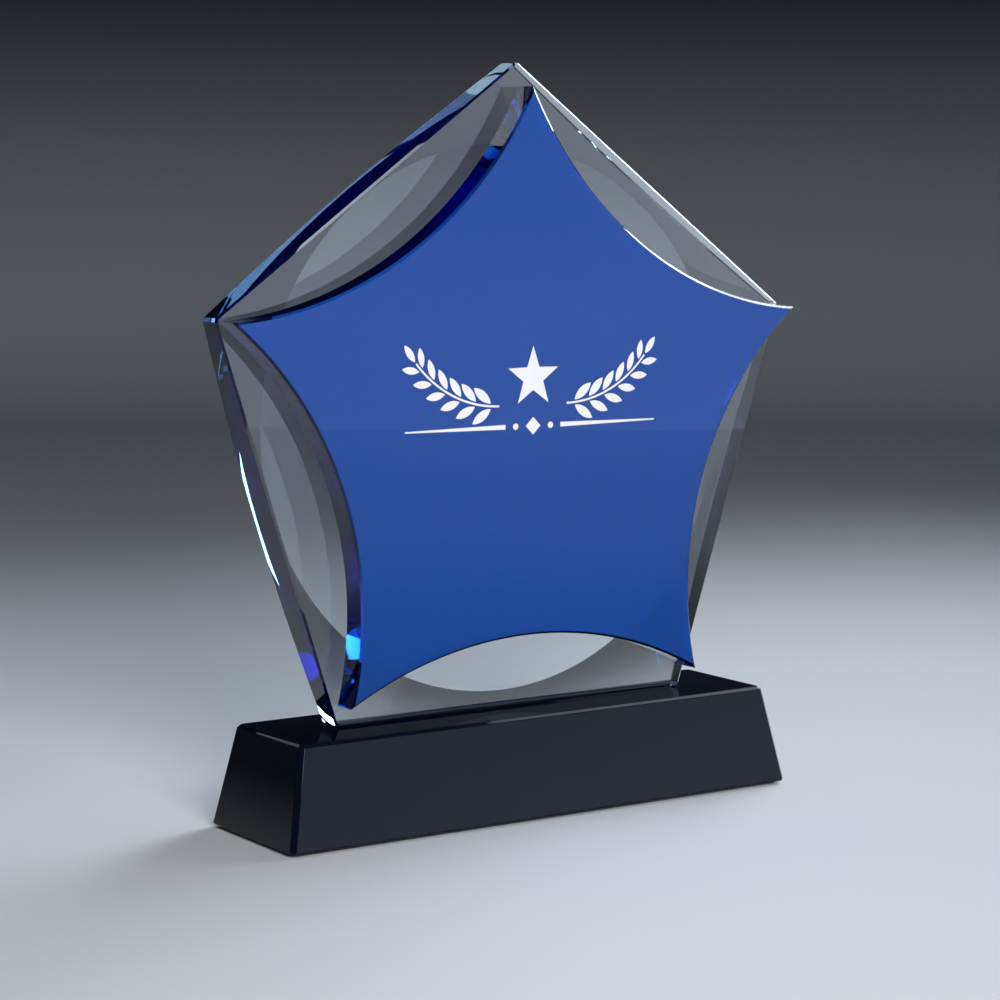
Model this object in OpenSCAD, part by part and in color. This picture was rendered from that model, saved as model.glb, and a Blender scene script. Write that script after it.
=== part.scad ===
// Star trophy: a blue crystal star bonded to the front of a clear crystal pentagon that stands on a
// black crystal base. Millimetres, +Z up, front faces -Y, origin at the centre of the underside.

/* [Base] */
// length of the base at its bottom edge, along X
base_len = 200; // [180:1:220]
// depth of the base at its bottom edge, along Y
base_depth = 53.7; // [50:0.1:60]
// length of the base at its top face
base_top_len = 186.8; // [170:0.1:190]
// depth of the base at its top face
base_top_depth = 42.5; // [40:0.1:48]
// height of the top face above the table
base_h = 34.4; // [30:0.1:40]
// width of the polished flat on each sloping corner edge
corner_flat = 2.2; // [1:0.1:3]
// leg of the chamfer on the long and short top edges
edge_chamfer = 0.9; // [0.4:0.1:1.5]
// thickness of the soft pad under the base
pad_t = 1; // [0.8:0.1:2]
// how far the pad stops short of the bottom edge
pad_inset = 2.5; // [1.5:0.1:5]

/* [Clear pentagon] */
// centre to corner of the regular pentagon
pent_r = 118.7; // [110:0.1:122]
// full thickness of the clear plate
pent_t = 15; // [12:0.1:16]
// thickness left at the five corners behind the rear cone
corner_t = 8.4; // [7:0.1:10]
// radius of the flat disc left in the middle of the back face
flat_r = 92; // [88:0.1:94]
// Y of the front face of the clear plate
pent_front_y = -3.4; // [-5:0.1:-2]
// leg of the chamfer round the front face
pent_chamfer = 0.7; // [0.4:0.1:1]

/* [Blue star] */
// height of the top tip above the pentagon's centre
tip_top = 110.4; // [105:0.1:112]
// half width over the two side tips
tip_side_x = 112; // [105:0.1:112]
// height of the side tips above the centre
tip_side_z = 36.1; // [34:0.1:37]
// half width over the two bottom tips
tip_low_x = 69.8; // [66:0.1:70]
// drop of the bottom tips below the centre
tip_low_z = 88.6; // [84:0.1:90]
// depth of the two upper concave arcs
sag_upper = 18.1; // [14:0.1:21]
// depth of the two lower side arcs
sag_side = 19.4; // [14:0.1:22]
// depth of the bottom arc
sag_low = 18.1; // [14:0.1:21]
// thickness of the blue plate
star_t = 10; // [8:0.1:11]
// leg of the polished chamfer round both faces of the star
star_chamfer = 0.8; // [0.4:0.1:1.2]
// thickness of the clear adhesive films
bond_t = 0.15; // [0.1:0.05:0.2]

/* [Emblem] */
// height of the middle of the laurel row above the table
emblem_z = 146; // [140:1:150]
// centre to point of the small star
small_star_r = 10.5; // [8:0.1:11]
// depth of the engraving
engrave = 0.3; // [0.2:0.05:0.5]
// how far the white fill stays below the polished face
fill_below = 0.05; // [0.05:0.05:0.1]
// pairs of leaves on each spray
leaf_pairs = 6; // [4:1:6]
// length of the largest leaf
leaf_len = 8.6; // [7:0.1:9]
// height of the ornamental rule above the table
rule_z = 130; // [128:1:131]

/* [Hidden] */
$fn = 96;
block_h = base_h - pad_t;
// slope of the end faces and of the long faces, as run over rise
end_run = (base_len - base_top_len) / 2 / block_h;
face_run = (base_depth - base_top_depth) / 2 / block_h;
apothem = pent_r * cos(36);
pent_z = base_h + bond_t + apothem;
cone_run = (pent_r - flat_r) / (pent_t - corner_t);
star_back_y = pent_front_y - bond_t;
star_front_y = star_back_y - star_t;
fill_t = engrave - fill_below;
spray_r = 42;
spray_sweep = 50;
spray_start_x = 13.5;
spray_drop = 9;
stem_w = 0.7;
leaf_tilt = 36;

// star tips in order round the outline, seen from the front, and the sagitta of the arc after each
tips = [[0, tip_top], [tip_side_x, tip_side_z], [tip_low_x, -tip_low_z],
    [-tip_low_x, -tip_low_z], [-tip_side_x, tip_side_z]];
sags = [sag_upper, sag_side, sag_low, sag_side, sag_upper];

function chord(i) = tips[(i + 1) % 5] - tips[i];
function arc_r(i) = (pow(norm(chord(i)), 2) / 4 + pow(sags[i], 2)) / 2 / sags[i];
function chord_out(i) = [-chord(i)[1], chord(i)[0]] / norm(chord(i));
function arc_centre(i) = (tips[i] + tips[(i + 1) % 5]) / 2 + chord_out(i) * (arc_r(i) - sags[i]);

// a big block whose lower face passes through p with outward normal n, for cutting flats
module cut_plane(p, n) {
    u = n / norm(n);
    translate(p) rotate([0, acos(u[2]), atan2(u[1], u[0])])
        translate([-150, -150, 0]) cube([300, 300, 60]);
}

// stands a flat drawing upright: local +Z becomes the front direction
module upright(y, z) {
    translate([0, y, z]) rotate([90, 0, 0]) children();
}

module base_solid() {
    intersection() {
        rotate([90, 0, 0]) translate([0, 0, -base_depth])
            linear_extrude(2 * base_depth)
                polygon([[-base_len / 2, pad_t], [base_len / 2, pad_t],
                    [base_top_len / 2, base_h], [-base_top_len / 2, base_h]]);
        rotate([90, 0, 90]) translate([0, 0, -base_len])
            linear_extrude(2 * base_len)
                polygon([[-base_depth / 2, pad_t], [base_depth / 2, pad_t],
                    [base_top_depth / 2, base_h], [-base_top_depth / 2, base_h]]);
    }
}

module base_block() {
    c = edge_chamfer;
    color("black") difference() {
        base_solid();
        for (s = [-1, 1]) {
            cut_plane([s * (base_top_len / 2 - c), 0, base_h], [s, 0, 1 - end_run]);
            cut_plane([0, s * (base_top_depth / 2 - c), base_h], [0, s, 1 - face_run]);
            cut_plane([s * (base_len / 2 - c * 0.6), 0, pad_t], [s, 0, -1]);
            cut_plane([0, s * (base_depth / 2 - c * 0.6), pad_t], [0, s, -1]);
            for (t = [-1, 1])
                cut_plane([s * (base_len / 2 - corner_flat / sqrt(2)), t * base_depth / 2, pad_t],
                    [s, t, end_run + face_run]);
        }
    }
}

module base_pad() {
    w = base_len - 2 * pad_inset;
    d = base_depth - 2 * pad_inset;
    r = 2;
    color("dimgray") linear_extrude(pad_t) union() {
        square([w - 2 * r, d], center = true);
        square([w, d - 2 * r], center = true);
        for (s = [-1, 1], t = [-1, 1])
            translate([s * (w / 2 - r), t * (d / 2 - r)]) circle(r);
    }
}

// the whole plate with its rear cone: it stands on one side, on top of the adhesive under its foot
module pentagon_solid() {
    upright(pent_front_y + pent_t, pent_z) intersection() {
        rotate(90) linear_extrude(pent_t) circle(pent_r, $fn = 5);
        cylinder(h = pent_t, r1 = flat_r, r2 = flat_r + pent_t * cone_run);
    }
}

module clear_pentagon() {
    c = pent_chamfer;
    color("lightcyan", 0.4) difference() {
        pentagon_solid();
        for (i = [0:4]) {
            a = 90 + 36 + 72 * i;
            p = (apothem - c) * [cos(a), sin(a)];
            cut_plane([p[0], pent_front_y, pent_z + p[1]], [cos(a), -1, sin(a)]);
        }
    }
}

// adhesive under the foot of the pentagon: a thin slice that stays inside the plate's foot face
module foot_bond() {
    half_side = pent_r * sin(36);
    color("white", 0.4) translate([0, 0, base_h]) linear_extrude(bond_t)
        polygon([[-half_side + 2, pent_front_y + pent_chamfer], [half_side - 2, pent_front_y + pent_chamfer],
            [half_side - 2, pent_front_y + corner_t - 0.4], [half_side * 0.5, pent_front_y + corner_t + 3.4],
            [-half_side * 0.5, pent_front_y + corner_t + 3.4], [-half_side + 2, pent_front_y + corner_t - 0.4]]);
}

module star_outline(grow) {
    difference() {
        polygon(tips);
        for (i = [0:4]) translate(arc_centre(i)) circle(arc_r(i) + grow);
    }
}

// two equal circles whose overlap is a pointed leaf with its stalk end at the origin
module leaf(size) {
    half_w = size * 0.18;
    r = (pow(size / 2, 2) + pow(half_w, 2)) / 2 / half_w;
    translate([size / 2, 0]) intersection() {
        translate([0, r - half_w]) circle(r);
        translate([0, half_w - r]) circle(r);
    }
}

// the left spray: a thin stem on a rising arc, pairs of leaves along it and one leaf at its end
module spray_2d() {
    translate([-spray_start_x, spray_r - spray_drop]) {
        intersection() {
            difference() {
                circle(spray_r + stem_w / 2);
                circle(spray_r - stem_w / 2);
            }
            polygon([[0, 0], [0, -2 * spray_r], [-2 * spray_r, -2 * spray_r],
                2 * spray_r * [-sin(spray_sweep), -cos(spray_sweep)]]);
        }
        for (k = [0:leaf_pairs - 1]) rotate(-spray_sweep * (k + 0.35) / leaf_pairs)
            translate([0, -spray_r]) for (s = [-1, 1])
                rotate(180 + s * leaf_tilt) translate([stem_w + 0.8, 0])
                    leaf(leaf_len * (1 - 0.045 * k));
        rotate(-spray_sweep) translate([-0.6, -spray_r]) rotate(180 - 4) leaf(leaf_len * 0.8);
    }
}

module small_star_2d() {
    polygon([for (k = [0:9])
        (k % 2 == 0 ? small_star_r : small_star_r * 0.4) * [sin(36 * k), cos(36 * k)]]);
}

module rule_2d() {
    rotate(45) square(4.2, center = true);
    for (s = [-1, 1]) {
        translate([s * 7, 0]) circle(1.1);
        polygon([[s * 11, 0.8], [s * 50, 0.25], [s * 50, -0.25], [s * 11, -0.8]]);
    }
}

// places one piece of engraved artwork in the front face: depth is measured back from the face
module engraved(front, depth, z) {
    translate([0, star_front_y + front + depth, z]) rotate([90, 0, 0])
        linear_extrude(depth) children();
}

module blue_star() {
    c = star_chamfer;
    color("royalblue") difference() {
        upright(star_back_y, pent_z) difference() {
            linear_extrude(star_t) star_outline(0);
            for (i = [0:4]) translate(arc_centre(i)) {
                translate([0, 0, star_t - c]) cylinder(h = c, r1 = arc_r(i), r2 = arc_r(i) + c);
                cylinder(h = c, r1 = arc_r(i) + c, r2 = arc_r(i));
            }
        }
        engraved(0, engrave, emblem_z) union() {
            small_star_2d();
            spray_2d();
            mirror([1, 0]) spray_2d();
        }
        engraved(0, engrave, rule_z) rule_2d();
    }
}

module star_bond() {
    color("white", 0.4) upright(pent_front_y, pent_z)
        linear_extrude(bond_t) star_outline(star_chamfer);
}

module emblem_star() {
    color("white") engraved(fill_below, fill_t, emblem_z) small_star_2d();
}

module laurel_left() {
    color("white") engraved(fill_below, fill_t, emblem_z) spray_2d();
}

module laurel_right() {
    color("white") engraved(fill_below, fill_t, emblem_z) mirror([1, 0]) spray_2d();
}

module emblem_rule() {
    color("white") engraved(fill_below, fill_t, rule_z) rule_2d();
}

base_block();
base_pad();
foot_bond();
clear_pentagon();
star_bond();
blue_star();
emblem_star();
laurel_left();
laurel_right();
emblem_rule();
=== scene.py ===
import bmesh
import bpy
import math
from mathutils import Matrix, Vector
from mathutils.geometry import delaunay_2d_cdt


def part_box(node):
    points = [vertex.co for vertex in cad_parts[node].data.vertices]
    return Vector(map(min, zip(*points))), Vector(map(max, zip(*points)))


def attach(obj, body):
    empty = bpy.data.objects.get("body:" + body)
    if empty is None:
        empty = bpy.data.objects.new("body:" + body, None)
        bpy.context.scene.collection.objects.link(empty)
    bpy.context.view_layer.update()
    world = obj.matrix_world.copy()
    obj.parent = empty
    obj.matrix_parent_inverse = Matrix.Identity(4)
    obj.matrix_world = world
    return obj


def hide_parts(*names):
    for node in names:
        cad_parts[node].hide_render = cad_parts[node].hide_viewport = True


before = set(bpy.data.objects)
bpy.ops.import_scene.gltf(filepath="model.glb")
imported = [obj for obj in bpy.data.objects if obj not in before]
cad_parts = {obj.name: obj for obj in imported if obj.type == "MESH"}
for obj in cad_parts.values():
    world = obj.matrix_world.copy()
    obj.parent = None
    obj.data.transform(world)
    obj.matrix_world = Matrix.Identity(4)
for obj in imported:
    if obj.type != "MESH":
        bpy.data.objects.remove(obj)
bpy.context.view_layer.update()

# ---------------------------------------------------------------- sizes, in millimetres
MM = 0.001


def box_mm(node):
    """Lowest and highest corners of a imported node, in millimetres."""
    low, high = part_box(node)
    return Vector(low) / MM, Vector(high) / MM


BLOCK_LOW, BLOCK_HIGH = box_mm("base_block")
PAD_LOW, PAD_HIGH = box_mm("base_pad")
PLATE_LOW, PLATE_HIGH = box_mm("clear_pentagon")
STAR_LOW, STAR_HIGH = box_mm("blue_star")
RULE_LOW, RULE_HIGH = box_mm("emblem_rule")

BLOCK_TOP_LEN = 186.8
BLOCK_TOP_DEPTH = 42.5
BLOCK_TOP = BLOCK_HIGH.z
CORNER_FLAT = 2.2
BLOCK_CHAMFER = 0.9
BLOCK_FOOT_CHAMFER = 0.6
ARRIS = 0.14
# faces of the block smaller than this, in mm2, are shaded smooth with their neighbours
SMALL_FACE = 60
CRISP_EDGE = math.radians(30)
ARRIS_PROFILE = 0.6

# the soft pad: share of its height, and how far its cut edge is set in there
PAD_CORNER = 2.0
PAD_EDGE = ((0, 0.3), (0.12, 0.08), (0.35, 0), (0.7, 0), (0.92, 0.1), (1.0, 0.3))

SIDES = 5
PLATE_R = 118.7
PLATE_APOTHEM = PLATE_R * math.cos(math.pi / SIDES)
PLATE_T = 15.0
PLATE_CORNER_T = 8.4
FLAT_R = 92.0
PLATE_CHAMFER = 0.7
PLATE_ARRIS = 0.35
CORNER_GRIND = 0.45
PLATE_FRONT = PLATE_LOW.y
PLATE_Z = PLATE_HIGH.z - PLATE_R
# how far a bonded face reaches into its neighbour, so that no air gap shows
SINK = 0.02
# thickness of the gap for adhesive, and where a film's two faces lie, from the surface it is bonded to
BOND_T = 0.15
FILM_LOW, FILM_HIGH = 0.03, 0.12
FILM_IN_FROM_STAR = 0.1
FOOT_IN_FRONT, FOOT_IN_BACK, FOOT_IN_END = 1, 0.6, 2
FOOT_BULGE = 3.6
FOOT_LEVEL = BLOCK_TOP + BOND_T + PLATE_ARRIS / 2

TIP_TOP = 110.4
TIP_SIDE = (112.0, 36.1)
TIP_LOW = (69.8, -88.6)
SAG_UPPER, SAG_SIDE, SAG_LOW = 18.1, 19.4, 18.1
STAR_CHAMFER = 0.8
STAR_FRONT = STAR_LOW.y
STAR_BACK = PLATE_FRONT + SINK
ARC_STEPS = 120

ENGRAVE = 0.3
FILL_BELOW = 0.05
FILL_GROW = 0.02
EMBLEM_Z = 146.0
RULE_Z = (RULE_LOW.z + RULE_HIGH.z) / 2
SMALL_STAR_R = 10.5
SPRAY_R = 42.0
SPRAY_SWEEP = math.radians(50)
SPRAY_START = 13.5
SPRAY_DROP = 9.0
STEM_W = 0.7
LEAF_TILT = math.radians(36)
LEAF_PAIRS = 6
LEAF_LEN = 8.6
LEAF_HALF_WIDTH = 0.18
LEAF_SHRINK = 0.045
LEAF_GAP = 0.8
FIRST_PAIR = 0.35
END_LEAF = 0.8
END_LEAF_TURN = math.radians(176)
END_LEAF_BACK = 0.6
STAR_WAIST = 0.4
RULE_SQUARE = 4.2
SQUARE_GROW = 1.4
DOT_X, DOT_R = 7.0, 1.1
BAR_START, BAR_END = 11.0, 50.0
BAR_WIDE, BAR_THIN = 0.8, 0.25

# share of the light that the star's front face lets in, and the depths between which that rises to all
FACE_GLASS = 0.25
SKIN_START, SKIN_END = 0.05, 0.1

# ---------------------------------------------------------------- studio, in metres
FLOOR_R = 1.5
COVE_R = 0.6
WALL_TOP = 1.6
AROUND = 128
COVE_STEPS = 24
# height in metres at which the paper's painted shade reaches nearly black
PAPER_PAINTED_SHADE_AT = 0.5

CARD_AT = (0.81, -1.19, 0.21)
NEAR_POOL_AT = (0.57, -0.83, 0.45)
FAR_POOL_AT = (1.0, -1.48, 0.6)
BACK_AT = (-0.27, 1.0, 0.72)
FRONT_AT = (-0.3, -0.95, 0.5)
# places of the lights at the right, each with its power in watts
FAN = ((1.04, 0.65, 0.44, 0.5), (1.10, 0.40, 0.64, 0.5),
       (1.03, 0.18, 0.86, 0.5), (0.9, -0.04, 1.06, 0.35))
FAN_SIZE = 0.42
COOL = (0.76, 0.85, 1.0)
SKY = (0.84, 0.92, 1.0)
PALE = (0.86, 0.94, 1.0)

EYE = (-0.5148, -0.7534, 0.2097)
EYE_YAW, EYE_PITCH, EYE_ROLL = math.radians(34.14), math.radians(-6.61), math.radians(0.18)
LENS = 98.63


# ---------------------------------------------------------------- mesh helpers
def build(name, verts, faces, regions, curved, material, node):
    """A closed mesh in mm whose edges are crisp between regions and smooth inside the curved ones."""
    mesh = bpy.data.meshes.new(name)
    mesh.from_pydata([(x * MM, y * MM, z * MM) for x, y, z in verts], [], faces)
    bm = bmesh.new()
    bm.from_mesh(mesh)
    for face, region in zip(bm.faces, regions):
        face.smooth = region in curved
    for edge in bm.edges:
        near = {regions[f.index] for f in edge.link_faces}
        edge.smooth = len(near) == 1 and near <= set(curved)
    bmesh.ops.recalc_face_normals(bm, faces=bm.faces)
    bm.to_mesh(mesh)
    bm.free()
    return place(name, mesh, material, node)


def place(name, mesh, material, node):
    """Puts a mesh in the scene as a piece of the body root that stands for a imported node."""
    piece = bpy.data.objects.new(name, mesh)
    bpy.context.collection.objects.link(piece)
    mesh.materials.append(material)
    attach(piece, "root")
    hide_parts(node)
    return piece


def ring_faces(a, b, count):
    """Quads between two closed rings of count vertices that start at indices a and b."""
    return [(a + i, a + (i + 1) % count, b + (i + 1) % count, b + i) for i in range(count)]


def winding(loop):
    """Twice the signed area of a loop of points: above zero if it runs anticlockwise."""
    return sum(a[0] * b[1] - b[0] * a[1] for a, b in zip(loop, loop[1:] + loop[:1]))


def triangles(loops):
    """Fills the first loop and the loops inside it: points, triangles and the loop that each lies in."""
    flat, spans = [], []
    for loop in loops:
        spans.append(list(range(len(flat), len(flat) + len(loop))))
        flat += [Vector(p) for p in loop]
    outlines = [span if winding(loop) > 0 else span[::-1] for span, loop in zip(spans, loops)]
    points, _, faces, from_points, _, from_faces = delaunay_2d_cdt(flat, [], outlines, 1, 1e-7)
    where = {}
    for new, olds in enumerate(from_points):
        for old in olds:
            where[old] = new
    rings = [[where[i] for i in span] for span in spans]
    return [tuple(p) for p in points], [tuple(f) for f in faces], [max(o) for o in from_faces], rings


# ---------------------------------------------------------------- outlines, as (x, z) points
def arc_circle(a, b, sag):
    """Centre and radius of the circle through a and b that cuts sag deep into the star."""
    a, b = Vector(a), Vector(b)
    chord = b - a
    radius = (chord.length_squared / 4 + sag * sag) / (2 * sag)
    outward = Vector((-chord.y, chord.x)).normalized()
    return (a + b) / 2 + outward * (radius - sag), radius


def meeting(first, second, near):
    """The point nearest to near where two circles cross."""
    (c0, r0), (c1, r1) = first, second
    d = c1 - c0
    along = (r0 * r0 - r1 * r1 + d.length_squared) / (2 * d.length)
    across = math.sqrt(max(r0 * r0 - along * along, 0))
    unit = d.normalized()
    side = Vector((-unit.y, unit.x))
    options = [c0 + unit * along + side * across, c0 + unit * along - side * across]
    return min(options, key=lambda p: (p - near).length)


def star_outline(grow, steps=ARC_STEPS):
    """The five-armed outline with every hollow arc's radius grown by grow, clockwise from the top."""
    tips = [Vector((0, TIP_TOP)), Vector(TIP_SIDE), Vector(TIP_LOW),
            Vector((-TIP_LOW[0], TIP_LOW[1])), Vector((-TIP_SIDE[0], TIP_SIDE[1]))]
    sags = [SAG_UPPER, SAG_SIDE, SAG_LOW, SAG_SIDE, SAG_UPPER]
    circles = []
    for i, sag in enumerate(sags):
        centre, radius = arc_circle(tips[i], tips[(i + 1) % 5], sag)
        circles.append((centre, radius + grow))
    corners = [meeting(circles[i - 1], circles[i], tips[i]) for i in range(5)]
    points = []
    for i, (centre, radius) in enumerate(circles):
        a, b = corners[i] - centre, corners[(i + 1) % 5] - centre
        start = math.atan2(a.y, a.x)
        turn = (math.atan2(b.y, b.x) - start + math.pi) % (2 * math.pi) - math.pi
        for k in range(steps):
            w = start + turn * k / steps
            points.append((centre.x + radius * math.cos(w), centre.y + radius * math.sin(w)))
    return points


def turned(points, angle, shift=(0, 0)):
    """Turns points anticlockwise about the origin, then moves them."""
    c, s = math.cos(angle), math.sin(angle)
    return [(x * c - y * s + shift[0], x * s + y * c + shift[1]) for x, y in points]


def leaf(size, grow=0.0, steps=14):
    """A pointed leaf with its stalk end at the origin, pointing along +x."""
    half_w = size * LEAF_HALF_WIDTH + grow
    reach = size / 2 + grow
    radius = (reach * reach + half_w * half_w) / (2 * half_w)
    top = []
    half_angle = math.asin(reach / radius)
    for k in range(steps + 1):
        w = -half_angle + 2 * half_angle * k / steps
        top.append((size / 2 + radius * math.sin(w), radius * math.cos(w) - radius + half_w))
    return top + [(x, -y) for x, y in reversed(top[1:-1])]


def disc(radius, steps=28):
    """Points round a circle, anticlockwise."""
    return [(radius * math.cos(2 * math.pi * k / steps), radius * math.sin(2 * math.pi * k / steps))
            for k in range(steps)]


def left_spray(grow=0.0):
    """The left laurel spray: a thin curved stem, pairs of leaves and one leaf at its end."""
    origin = (-SPRAY_START, SPRAY_R - SPRAY_DROP)
    steps = 40
    start, sweep = -grow / SPRAY_R, SPRAY_SWEEP + 2 * grow / SPRAY_R
    stem = []
    for radius, order in ((SPRAY_R + STEM_W / 2 + grow, range(steps + 1)),
                          (SPRAY_R - STEM_W / 2 - grow, range(steps, -1, -1))):
        for k in order:
            w = start + sweep * k / steps
            stem.append((-radius * math.sin(w), -radius * math.cos(w)))
    loops = [stem]
    for k in range(LEAF_PAIRS):
        along = -SPRAY_SWEEP * (k + FIRST_PAIR) / LEAF_PAIRS
        for side in (-1, 1):
            size = LEAF_LEN * (1 - LEAF_SHRINK * k)
            shape = [(x + STEM_W + LEAF_GAP, y) for x, y in leaf(size, grow)]
            shape = turned(shape, math.pi + side * LEAF_TILT, (0, -SPRAY_R))
            loops.append(turned(shape, along))
    shape = turned(leaf(LEAF_LEN * END_LEAF, grow), END_LEAF_TURN, (-END_LEAF_BACK, -SPRAY_R))
    loops.append(turned(shape, -SPRAY_SWEEP))
    return [[(x + origin[0], y + origin[1]) for x, y in loop] for loop in loops]


def mirrored(loops):
    """The same loops on the other side of the middle, still anticlockwise or clockwise as before."""
    return [[(-x, y) for x, y in reversed(loop)] for loop in loops]


def small_star(grow=0.0):
    """A five-pointed star with straight sides, alone in a list."""
    radii = (SMALL_STAR_R + grow * 2, SMALL_STAR_R * STAR_WAIST + grow)
    return [[(radii[k % 2] * math.sin(math.pi * k / 5), radii[k % 2] * math.cos(math.pi * k / 5))
             for k in range(10)]]


def rule(grow=0.0):
    """A square on its corner, a dot and a tapered bar to each side."""
    half = RULE_SQUARE / math.sqrt(2) + grow * SQUARE_GROW
    loops = [[(half, 0), (0, half), (-half, 0), (0, -half)]]
    for s in (-1, 1):
        loops.append([(s * DOT_X + x, y) for x, y in disc(DOT_R + grow)])
        start, end, wide, thin = BAR_START - grow, BAR_END + grow, BAR_WIDE + grow, BAR_THIN + grow
        bar = [(start, wide), (end, thin), (end, -thin), (start, -wide)]
        loops.append([(s * x, y) for x, y in (bar if s > 0 else reversed(bar))])
    return loops


def raised(loops, z):
    """Moves loops drawn about a height above the table to the star's own centre."""
    return [[(x, y + z - PLATE_Z) for x, y in loop] for loop in loops]


# ---------------------------------------------------------------- pieces
def star_piece(material):
    """The blue plate: hollow arcs, polished chamfers and the engraved pockets in its front face."""
    artwork = (raised(small_star() + left_spray() + mirrored(left_spray()), EMBLEM_Z)
               + raised(rule(), RULE_Z))
    inner = star_outline(STAR_CHAMFER)
    outer = star_outline(0)
    count = len(inner)
    points, cells, owners, rings = triangles([inner] + artwork)
    verts = [(x, STAR_FRONT, z + PLATE_Z) for x, z in points]
    faces, regions = [], []
    floors = {}
    for ring in rings[1:]:
        for i in ring:
            floors[i] = len(verts)
            x, z = points[i]
            verts.append((x, STAR_FRONT + ENGRAVE, z + PLATE_Z))
    for cell, owner in zip(cells, owners):
        if owner:
            faces.append(tuple(floors[i] for i in cell))
            regions.append("pocket")
        else:
            faces.append(cell)
            regions.append("front")
    for n, ring in enumerate(rings[1:]):
        for i, j in zip(ring, ring[1:] + ring[:1]):
            faces.append((i, j, floors[j], floors[i]))
            regions.append("edge%d" % n)
    rim = [rings[0][i] for i in range(count)]
    first = len(verts)
    for y in (STAR_FRONT + STAR_CHAMFER, STAR_BACK - STAR_CHAMFER):
        verts += [(x, y, z + PLATE_Z) for x, z in outer]
    for i in range(count):
        j = (i + 1) % count
        faces.append((rim[i], rim[j], first + j, first + i))
        regions.append("chamfer%d" % (i // ARC_STEPS))
    faces += ring_faces(first, first + count, count)
    regions += ["wall%d" % (i // ARC_STEPS) for i in range(count)]
    back_points, back_cells, _, back_rings = triangles([inner])
    back = len(verts)
    verts += [(x, STAR_BACK, z + PLATE_Z) for x, z in back_points]
    faces += [tuple(back + i for i in cell) for cell in back_cells]
    regions += ["back"] * len(back_cells)
    ring = [back + i for i in back_rings[0]]
    for i in range(count):
        j = (i + 1) % count
        faces.append((first + count + i, first + count + j, ring[j], ring[i]))
        regions.append("heel%d" % (i // ARC_STEPS))
    curved = [k + str(i) for k in ("chamfer", "wall", "heel") for i in range(5)]
    return build("blue_star_plate", verts, faces, regions, curved, material, "blue_star")


def plate_angles():
    """Clockwise angles from the top: close at the ground corners and even along the sides."""
    half = math.pi / SIDES
    grind = math.atan2(CORNER_GRIND * math.tan(math.pi / 2 - half), PLATE_R - CORNER_GRIND)
    steps = 96
    angles = []
    for side in range(SIDES):
        base = side * 2 * half
        for k in range(steps + 1):
            angles.append(base + grind + (2 * half - 2 * grind) * k / steps)
    return angles


def plate_radius(angle):
    """Distance from the centre to the pentagon's side at this angle."""
    off = angle % (2 * math.pi / SIDES) - math.pi / SIDES
    return PLATE_APOTHEM / math.cos(off)


def plate_piece(material):
    """The clear plate: flat front with a chamfer, five flat sides and a shallow cone behind."""
    angles = plate_angles()
    count = len(angles)
    slope = (PLATE_T - PLATE_CORNER_T) / (PLATE_R - FLAT_R)
    inset = (PLATE_APOTHEM - PLATE_CHAMFER) / PLATE_APOTHEM
    rings = [[], [], [], [], []]
    for a in angles:
        r = plate_radius(a)
        s, c = math.sin(a), math.cos(a)
        back = PLATE_FRONT + PLATE_T - slope * (r - FLAT_R)
        near = r - PLATE_ARRIS
        ring_points = ((r * inset, PLATE_FRONT), (r, PLATE_FRONT + PLATE_CHAMFER),
                       (r, back - PLATE_ARRIS),
                       (near, PLATE_FRONT + PLATE_T - slope * (near - FLAT_R)),
                       (FLAT_R, PLATE_FRONT + PLATE_T))
        for ring, (radius, y) in zip(rings, ring_points):
            z = PLATE_Z + radius * c
            if z < FOOT_LEVEL:
                z = BLOCK_TOP - SINK
            ring.append((radius * s, y, z))
    verts = [p for ring in rings for p in ring]
    per_side = count // SIDES
    faces, regions = [], []
    for n, kind in enumerate(("chamfer", "side", "arris", "cone")):
        faces += ring_faces(n * count, (n + 1) * count, count)
        for i in range(count):
            corner = i % per_side == per_side - 1
            facet = "%s%d%s" % (kind, i // per_side, "c" if corner else "")
            regions.append("cone" if kind == "cone" else facet)
    for centre_y, start in ((PLATE_FRONT, 0), (PLATE_FRONT + PLATE_T, 4 * count)):
        centre = len(verts)
        verts.append((0, centre_y, PLATE_Z))
        faces += [(start + i, start + (i + 1) % count, centre) for i in range(count)]
        regions += ["disc%d" % start] * count
    return build("clear_pentagon_plate", verts, faces, regions, ["cone"], material,
                 "clear_pentagon")


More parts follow.
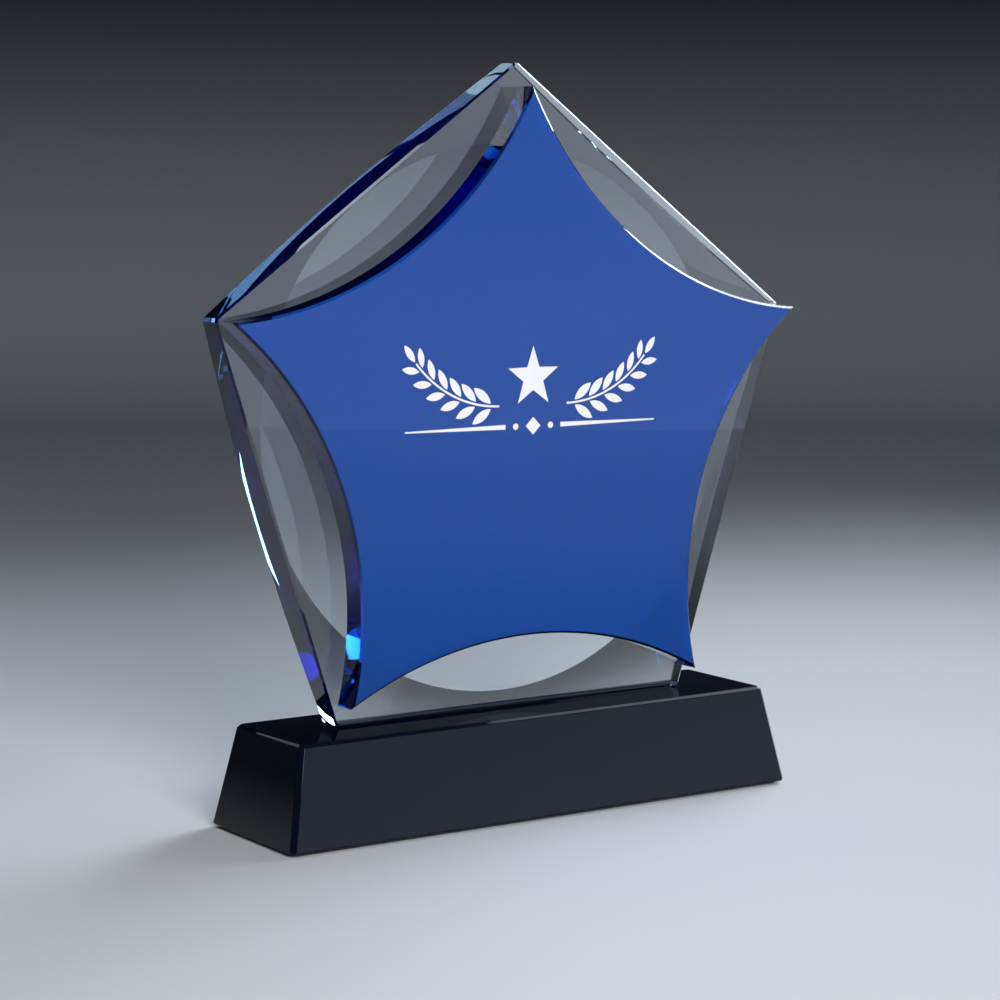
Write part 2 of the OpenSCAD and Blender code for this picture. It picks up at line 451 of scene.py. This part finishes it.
def block_piece(material):
    """The black block: a frustum with flats on its corners, chamfers and fine polished arrises."""
    low, high = BLOCK_LOW.z, BLOCK_HIGH.z
    hx, hy = BLOCK_HIGH.x, BLOCK_HIGH.y
    tx, ty = BLOCK_TOP_LEN / 2, BLOCK_TOP_DEPTH / 2
    bm = bmesh.new()
    quarters = ((-1, -1), (1, -1), (1, 1), (-1, 1))
    bottom = [bm.verts.new((sx * hx, sy * hy, low)) for sx, sy in quarters]
    top = [bm.verts.new((sx * tx, sy * ty, high)) for sx, sy in quarters]
    bm.faces.new(bottom[::-1])
    bm.faces.new(top)
    for i in range(4):
        j = (i + 1) % 4
        bm.faces.new((bottom[i], bottom[j], top[j], top[i]))
    corners = [e for e in bm.edges if abs(e.verts[0].co.z - e.verts[1].co.z) > 1]
    bmesh.ops.bevel(bm, geom=corners, offset=CORNER_FLAT / math.sqrt(2), segments=1, affect="EDGES")
    for level, width in ((high, BLOCK_CHAMFER), (low, BLOCK_FOOT_CHAMFER)):
        rim = [e for e in bm.edges if all(abs(v.co.z - level) < 1e-4 for v in e.verts)]
        bmesh.ops.bevel(bm, geom=rim, offset=width, segments=1, affect="EDGES")
    bmesh.ops.bevel(bm, geom=list(bm.edges), offset=ARRIS, segments=2, profile=ARRIS_PROFILE,
                    affect="EDGES")
    bmesh.ops.recalc_face_normals(bm, faces=bm.faces)
    for face in bm.faces:
        face.smooth = face.calc_area() < SMALL_FACE
    for edge in bm.edges:
        edge.smooth = edge.calc_face_angle(0) < CRISP_EDGE
    bmesh.ops.scale(bm, vec=(MM, MM, MM), verts=bm.verts)
    mesh = bpy.data.meshes.new("black_base_block")
    bm.to_mesh(mesh)
    bm.free()
    return place("black_base_block", mesh, material, "base_block")


def rounded_rectangle(half_x, half_y, radius, steps=10):
    """Points round a rectangle with quarter-circle corners, anticlockwise."""
    points = []
    for cx, cy, start in ((1, 1, 0), (-1, 1, 90), (-1, -1, 180), (1, -1, 270)):
        for k in range(steps + 1):
            w = math.radians(start + 90 * k / steps)
            points.append((cx * (half_x - radius) + radius * math.cos(w),
                           cy * (half_y - radius) + radius * math.sin(w)))
    return points


def pad_piece(material):
    """The soft pad under the block, with its cut edge pressed slightly round."""
    hx, hy = PAD_HIGH.x, PAD_HIGH.y
    verts = []
    for share, inset in PAD_EDGE:
        z = PAD_LOW.z + (PAD_HIGH.z - PAD_LOW.z) * share
        verts += [(x, y, z) for x, y in rounded_rectangle(hx - inset, hy - inset, PAD_CORNER)]
    count = len(verts) // len(PAD_EDGE)
    faces, regions = [], []
    for n in range(len(PAD_EDGE) - 1):
        faces += ring_faces(n * count, (n + 1) * count, count)
        regions += ["rim"] * count
    faces += [tuple(range(count)), tuple(range(len(verts) - count, len(verts)))]
    regions += ["under", "over"]
    return build("felt_base_pad", verts, faces, regions, ["rim"], material, "base_pad")


def film_between(name, outline, low, high, upright, material, node):
    """A thin flat film of adhesive: upright ones lie in XZ, the others in XY."""
    points, cells, _, rings = triangles([outline])
    verts = []
    for level in (low, high):
        verts += [(x, level, y) if upright else (x, y, level) for x, y in points]
    count = len(points)
    ring = rings[0]
    faces = list(cells) + [tuple(count + i for i in cell) for cell in cells]
    faces += [(i, j, count + j, count + i) for i, j in zip(ring, ring[1:] + ring[:1])]
    regions = ["low"] * len(cells) + ["high"] * len(cells) + ["rim"] * len(ring)
    return build(name, verts, faces, regions, [], material, node)


def star_film(material):
    """Adhesive behind the star, a little inside the star's chamfered edge."""
    outline = [(x, z + PLATE_Z) for x, z in star_outline(STAR_CHAMFER + FILM_IN_FROM_STAR, 60)]
    return film_between("star_bond_film", outline, PLATE_FRONT - FILM_HIGH, PLATE_FRONT - FILM_LOW,
                        True, material, "star_bond")


def foot_film(material):
    """Adhesive under the foot of the clear plate, which is thinner towards its two corners."""
    half = PLATE_R * math.sin(math.pi / SIDES)
    end, bulge = half - FOOT_IN_END, half / 2
    front, back = PLATE_FRONT + FOOT_IN_FRONT, PLATE_FRONT + PLATE_CORNER_T - FOOT_IN_BACK
    outline = [(-end, front), (end, front), (end, back), (bulge, back + FOOT_BULGE),
               (-bulge, back + FOOT_BULGE), (-end, back)]
    return film_between("foot_bond_film", outline, BLOCK_TOP + FILM_LOW, BLOCK_TOP + FILM_HIGH,
                        False, material, "foot_bond")


def fill_piece(name, loops, material, node):
    """White paint fill in the engraving: flat, square-edged and just under the polished face."""
    verts, faces, regions = [], [], []
    top, floor = STAR_FRONT + FILL_BELOW, STAR_FRONT + ENGRAVE + FILL_GROW
    for loop in loops:
        points, cells, _, rings = triangles([loop])
        base, count = len(verts), len(points)
        verts += [(x, top, z + PLATE_Z) for x, z in points]
        verts += [(x, floor, z + PLATE_Z) for x, z in points]
        faces += [tuple(base + i for i in c) for c in cells]
        faces += [tuple(base + count + i for i in c) for c in cells]
        ring = rings[0]
        faces += [(base + i, base + j, base + count + j, base + count + i)
                  for i, j in zip(ring, ring[1:] + ring[:1])]
        regions += ["top"] * len(cells) + ["floor"] * len(cells) + ["side"] * len(ring)
    return build(name, verts, faces, regions, [], material, node)


# ---------------------------------------------------------------- materials
def new_material(name):
    """A node material: itself, its nodes, its links, its shader and its output."""
    mat = bpy.data.materials.new(name)
    mat.use_nodes = True
    nodes = mat.node_tree.nodes
    return mat, nodes, mat.node_tree.links, nodes["Principled BSDF"], nodes["Material Output"]


def noise(nodes, links, scale, detail=2.0, stretch=(1, 1, 1)):
    """A noise texture in metres, stretched along chosen axes."""
    where = nodes.new("ShaderNodeTexCoord")
    mapping = nodes.new("ShaderNodeMapping")
    mapping.inputs["Scale"].default_value = stretch
    texture = nodes.new("ShaderNodeTexNoise")
    texture.inputs["Scale"].default_value = scale
    texture.inputs["Detail"].default_value = detail
    links.new(where.outputs["Object"], mapping.inputs["Vector"])
    links.new(mapping.outputs["Vector"], texture.inputs["Vector"])
    return texture.outputs["Fac"]


def mapped(nodes, links, value, low, high, start=0.3, end=0.7):
    """Turns a value between start and end into one between low and high."""
    ramp = nodes.new("ShaderNodeMapRange")
    for socket, number in zip(ramp.inputs[1:5], (start, end, low, high)):
        socket.default_value = number
    links.new(value, ramp.inputs[0])
    return ramp.outputs[0]


def blended(nodes, links, share, first, second):
    """A colour that goes from first to second as share rises; each is a colour or a socket."""
    mix = nodes.new("ShaderNodeMix")
    mix.data_type = "RGBA"
    links.new(share, mix.inputs["Factor"])
    for socket, colour in ((mix.inputs[6], first), (mix.inputs[7], second)):
        if isinstance(colour, tuple):
            socket.default_value = colour
        else:
            links.new(colour, socket)
    return mix.outputs[2]


def bumped(nodes, links, value, shader, distance, strength=1.0):
    """Fine relief from a value, at most distance high, in metres."""
    bump = nodes.new("ShaderNodeBump")
    bump.inputs["Distance"].default_value = distance
    bump.inputs["Strength"].default_value = strength
    links.new(value, bump.inputs["Height"])
    links.new(bump.outputs["Normal"], shader.inputs["Normal"])


def absorption(nodes, links, output, colour, density):
    """Colour that deepens with the length of the light's way through the crystal."""
    volume = nodes.new("ShaderNodeVolumeAbsorption")
    volume.inputs["Color"].default_value = (*colour, 1)
    volume.inputs["Density"].default_value = density
    links.new(volume.outputs[0], output.inputs["Volume"])


def clear_crystal():
    """Optical crystal: polished, with a trace of aqua in its depth and faint polishing haze."""
    mat, nodes, links, shader, output = new_material("clear_crystal")
    shader.inputs["Base Color"].default_value = (0.985, 0.993, 1.0, 1)
    shader.inputs["IOR"].default_value = 1.52
    shader.inputs["Specular IOR Level"].default_value = 0.9
    shader.inputs["Transmission Weight"].default_value = 1.0
    haze = noise(nodes, links, 34, 3)
    links.new(mapped(nodes, links, haze, 0.0, 0.012, 0.6, 0.8), shader.inputs["Roughness"])
    bumped(nodes, links, noise(nodes, links, 14, 0), shader, 0.00002, 0.3)
    absorption(nodes, links, output, (0.6, 0.86, 0.96), 9)
    return mat


def blue_crystal():
    """Royal blue crystal: clear blue inside, with a body colour in the skin of its front face that carries
    painted shade, a little darker towards the bottom and lighter towards the top.
    """
    mat, nodes, links, shader, output = new_material("blue_crystal")
    shader.inputs["IOR"].default_value = 1.5
    where = nodes.new("ShaderNodeTexCoord")
    split = nodes.new("ShaderNodeSeparateXYZ")
    links.new(where.outputs["Object"], split.inputs[0])
    skin = ((STAR_FRONT + SKIN_START) * MM, (STAR_FRONT + SKIN_END) * MM)
    # painted shade: by height, the face's blue goes from a little darker low down to lighter towards the
    # top
    height = mapped(nodes, links, split.outputs["Z"], 0, 1, 0.05, 0.15)
    body = blended(nodes, links, height, (0.0030, 0.060, 0.31, 1), (0.0045, 0.066, 0.37, 1))
    inside = mapped(nodes, links, split.outputs["Y"], 0, 1, *skin)
    links.new(blended(nodes, links, inside, body, (0.04, 0.24, 0.86, 1)), shader.inputs["Base Color"])
    clear = mapped(nodes, links, split.outputs["Y"], FACE_GLASS, 1.0, *skin)
    links.new(clear, shader.inputs["Transmission Weight"])
    shader.inputs["Specular IOR Level"].default_value = 0.1
    haze = noise(nodes, links, 40, 3)
    links.new(mapped(nodes, links, haze, 0.0, 0.012, 0.6, 0.8), shader.inputs["Roughness"])
    bumped(nodes, links, noise(nodes, links, 30, 0), shader, 0.00002, 0.5)
    absorption(nodes, links, output, (0.05, 0.45, 0.86), 85)
    return mat


def black_crystal():
    """Black crystal, polished: faint wiping marks in its gloss and a little dust."""
    mat, nodes, links, shader, output = new_material("black_crystal")
    shader.inputs["Base Color"].default_value = (0.0032, 0.0046, 0.0105, 1)
    shader.inputs["IOR"].default_value = 1.52
    shader.inputs["Specular IOR Level"].default_value = 0.12
    wipes = noise(nodes, links, 60, 5, (0.4, 1.4, 1.4))
    links.new(mapped(nodes, links, wipes, 0.02, 0.07), shader.inputs["Roughness"])
    bumped(nodes, links, noise(nodes, links, 900, 3), shader, 0.000004, 0.4)
    return mat


def felt():
    """Dark felt: matted fibres, dull and slightly fuzzy."""
    mat, nodes, links, shader, output = new_material("felt_pad")
    fibres = noise(nodes, links, 2600, 6, (1, 1.8, 1))
    ramp = nodes.new("ShaderNodeValToRGB")
    ramp.color_ramp.elements[0].color = (0.012, 0.012, 0.014, 1)
    ramp.color_ramp.elements[1].color = (0.05, 0.05, 0.056, 1)
    links.new(fibres, ramp.inputs[0])
    links.new(ramp.outputs[0], shader.inputs["Base Color"])
    shader.inputs["Roughness"].default_value = 0.95
    shader.inputs["Sheen Weight"].default_value = 0.4
    bumped(nodes, links, fibres, shader, 0.0002)
    return mat


def white_fill():
    """Matt white paint wiped into the engraving, with a fine grain."""
    mat, nodes, links, shader, output = new_material("white_fill")
    grain = noise(nodes, links, 1800, 4)
    ramp = nodes.new("ShaderNodeValToRGB")
    ramp.color_ramp.elements[0].color = (0.80, 0.80, 0.79, 1)
    ramp.color_ramp.elements[1].color = (0.93, 0.93, 0.92, 1)
    links.new(grain, ramp.inputs[0])
    links.new(ramp.outputs[0], shader.inputs["Base Color"])
    links.new(mapped(nodes, links, grain, 0.55, 0.75), shader.inputs["Roughness"])
    bumped(nodes, links, grain, shader, 0.00003)
    return mat


def adhesive():
    """Clear cured adhesive between two crystals: it shows only as scattered specks."""
    mat, nodes, links, shader, output = new_material("clear_adhesive")
    shader.inputs["Base Color"].default_value = (0.8, 0.86, 0.9, 1)
    shader.inputs["Roughness"].default_value = 0.3
    clear = nodes.new("ShaderNodeBsdfTransparent")
    mix = nodes.new("ShaderNodeMixShader")
    specks = mapped(nodes, links, noise(nodes, links, 1500, 2), 0.0, 0.02, 0.6, 0.8)
    links.new(specks, mix.inputs[0])
    links.new(clear.outputs[0], mix.inputs[1])
    links.new(shader.outputs[0], mix.inputs[2])
    links.new(mix.outputs[0], output.inputs["Surface"])
    return mat


def studio_paper():
    """Pale studio floor with painted shade: its colour turns nearly black up the wall of the sweep."""
    mat, nodes, links, shader, output = new_material("studio_paper")
    where = nodes.new("ShaderNodeTexCoord")
    split = nodes.new("ShaderNodeSeparateXYZ")
    ramp = nodes.new("ShaderNodeValToRGB")
    links.new(where.outputs["Object"], split.inputs[0])
    # painted shade: the paper's colour darkens with height, from pale on the floor to nearly black up the
    # wall
    links.new(mapped(nodes, links, split.outputs["Z"], 0, 1, 0.0, PAPER_PAINTED_SHADE_AT), ramp.inputs[0])
    ramp.color_ramp.interpolation = "EASE"
    ramp.color_ramp.elements[0].color = (0.80, 0.81, 0.83, 1)
    ramp.color_ramp.elements[1].color = (0.02, 0.024, 0.035, 1)
    links.new(ramp.outputs[0], shader.inputs["Base Color"])
    shader.inputs["Roughness"].default_value = 0.9
    shader.inputs["Specular IOR Level"].default_value = 0.1
    bumped(nodes, links, noise(nodes, links, 700, 3), shader, 0.0001, 0.3)
    return mat


# ---------------------------------------------------------------- stage, lights and camera
def sweep_floor(material):
    """A round studio sweep: flat floor, a wide cove and a plain wall all round."""
    profile = [(0.4, 0.0), (0.9, 0.0), (FLOOR_R, 0.0)]
    for k in range(1, COVE_STEPS + 1):
        w = math.pi / 2 * k / COVE_STEPS
        profile.append((FLOOR_R + COVE_R * math.sin(w), COVE_R * (1 - math.cos(w))))
    profile.append((FLOOR_R + COVE_R, WALL_TOP))
    verts = [(0, 0, 0)]
    for r, z in profile:
        turns = [2 * math.pi * k / AROUND for k in range(AROUND)]
        verts += [(r * math.cos(w), r * math.sin(w), z) for w in turns]
    faces = [(0, 1 + k, 1 + (k + 1) % AROUND) for k in range(AROUND)]
    for n in range(len(profile) - 1):
        faces += ring_faces(1 + n * AROUND, 1 + (n + 1) * AROUND, AROUND)
    mesh = bpy.data.meshes.new("studio_sweep")
    mesh.from_pydata(verts, [], faces)
    for polygon in mesh.polygons:
        polygon.use_smooth = True
    bm = bmesh.new()
    bm.from_mesh(mesh)
    bmesh.ops.recalc_face_normals(bm, faces=bm.faces)
    bmesh.ops.reverse_faces(bm, faces=bm.faces)
    bm.to_mesh(mesh)
    bm.free()
    sweep = bpy.data.objects.new("studio_sweep", mesh)
    bpy.context.collection.objects.link(sweep)
    mesh.materials.append(material)


def soft_light(name, place_at, aim, width, height, power, spread=180, colour=(1, 1, 1)):
    """A rectangular area light that faces the point aim; spread is in degrees."""
    light = bpy.data.lights.new(name, "AREA")
    light.shape = "RECTANGLE"
    light.size, light.size_y = width, height
    light.energy = power
    light.spread = math.radians(spread)
    light.color = colour
    lamp = bpy.data.objects.new(name, light)
    bpy.context.collection.objects.link(lamp)
    lamp.location = place_at
    lamp.rotation_euler = (Vector(aim) - Vector(place_at)).to_track_quat("-Z", "Y").to_euler()
    return lamp


def studio_lights():
    """Soft boxes: a card and two floor pools at the front right, which the flat faces mirror, a small
    one behind at the left, one at the front for the face, and a fan at the right for the chamfers."""
    middle = (0, 0, 0.15)
    soft_light("light_card", CARD_AT, (0, 0, 0.21), 1.1, 0.42, 1.85, 180, COOL)
    # the lamps of the pools look almost straight down: the slight slant only sets which way they are turned
    soft_light("light_floor", NEAR_POOL_AT, (0.571, -0.8315, 0), 0.6, 0.85, 3.05, 76, COOL)
    soft_light("light_floor_far", FAR_POOL_AT, (1.001, -1.4815, 0), 1.1, 0.7, 4.6, 110, COOL)
    soft_light("light_back_left", BACK_AT, middle, 0.2, 0.26, 0.24, 180, PALE)
    soft_light("light_front", FRONT_AT, (0, 0, 0.12), 0.45, 0.45, 3.3, 110)
    for i, (x, y, z, power) in enumerate(FAN):
        lamp = soft_light("light_right_%d" % i, (x, y, z), middle, FAN_SIZE, FAN_SIZE, power, 60, SKY)
        # the first one is mirrored in polished faces, but not seen through glass
        lamp.visible_transmission = i > 0


def studio_world():
    """A dim blue surround, the same on every side."""
    world = bpy.data.worlds.new("studio_world")
    bpy.context.scene.world = world
    world.use_nodes = True
    background = world.node_tree.nodes["Background"]
    background.inputs["Color"].default_value = (0.66, 0.78, 1.0, 1)
    background.inputs["Strength"].default_value = 0.085


def camera():
    """The photograph's viewing angle: from the left front, a little below the height of the top."""
    level = math.cos(EYE_PITCH)
    ahead = Vector((math.sin(EYE_YAW) * level, math.cos(EYE_YAW) * level, math.sin(EYE_PITCH)))
    right = Vector((math.cos(EYE_YAW), -math.sin(EYE_YAW), 0))
    up = right.cross(ahead)
    turned_right = right * math.cos(EYE_ROLL) + up * math.sin(EYE_ROLL)
    turned_up = up * math.cos(EYE_ROLL) - right * math.sin(EYE_ROLL)
    data = bpy.data.cameras.new("camera")
    data.sensor_width = 36
    data.lens = LENS
    data.clip_end = 50
    eye = bpy.data.objects.new("camera", data)
    bpy.context.collection.objects.link(eye)
    matrix = Matrix((turned_right, turned_up, -ahead)).transposed().to_4x4()
    matrix.translation = Vector(EYE)
    eye.matrix_world = matrix
    bpy.context.scene.camera = eye


def render_settings():
    """Light bounces for stacked glass, plain colours, a clamp on stray light, and denoising."""
    scene = bpy.context.scene
    scene.view_settings.view_transform = "Standard"
    cycles = scene.cycles
    cycles.max_bounces = 24
    cycles.transmission_bounces = 20
    cycles.glossy_bounces = 12
    cycles.diffuse_bounces = 4
    cycles.transparent_max_bounces = 24
    cycles.sample_clamp_indirect = 6
    cycles.use_denoising = True


# ---------------------------------------------------------------- build everything
camera()
white = white_fill()
glue = adhesive()
block_piece(black_crystal())
pad_piece(felt())
plate_piece(clear_crystal())
star_piece(blue_crystal())
star_film(glue)
foot_film(glue)
fill_piece("emblem_star_fill", raised(small_star(FILL_GROW), EMBLEM_Z), white, "emblem_star")
fill_piece("laurel_left_fill", raised(left_spray(FILL_GROW), EMBLEM_Z), white, "laurel_left")
fill_piece("laurel_right_fill", raised(mirrored(left_spray(FILL_GROW)), EMBLEM_Z), white,
           "laurel_right")
fill_piece("emblem_rule_fill", raised(rule(FILL_GROW), RULE_Z), white, "emblem_rule")
sweep_floor(studio_paper())
studio_lights()
studio_world()
render_settings()
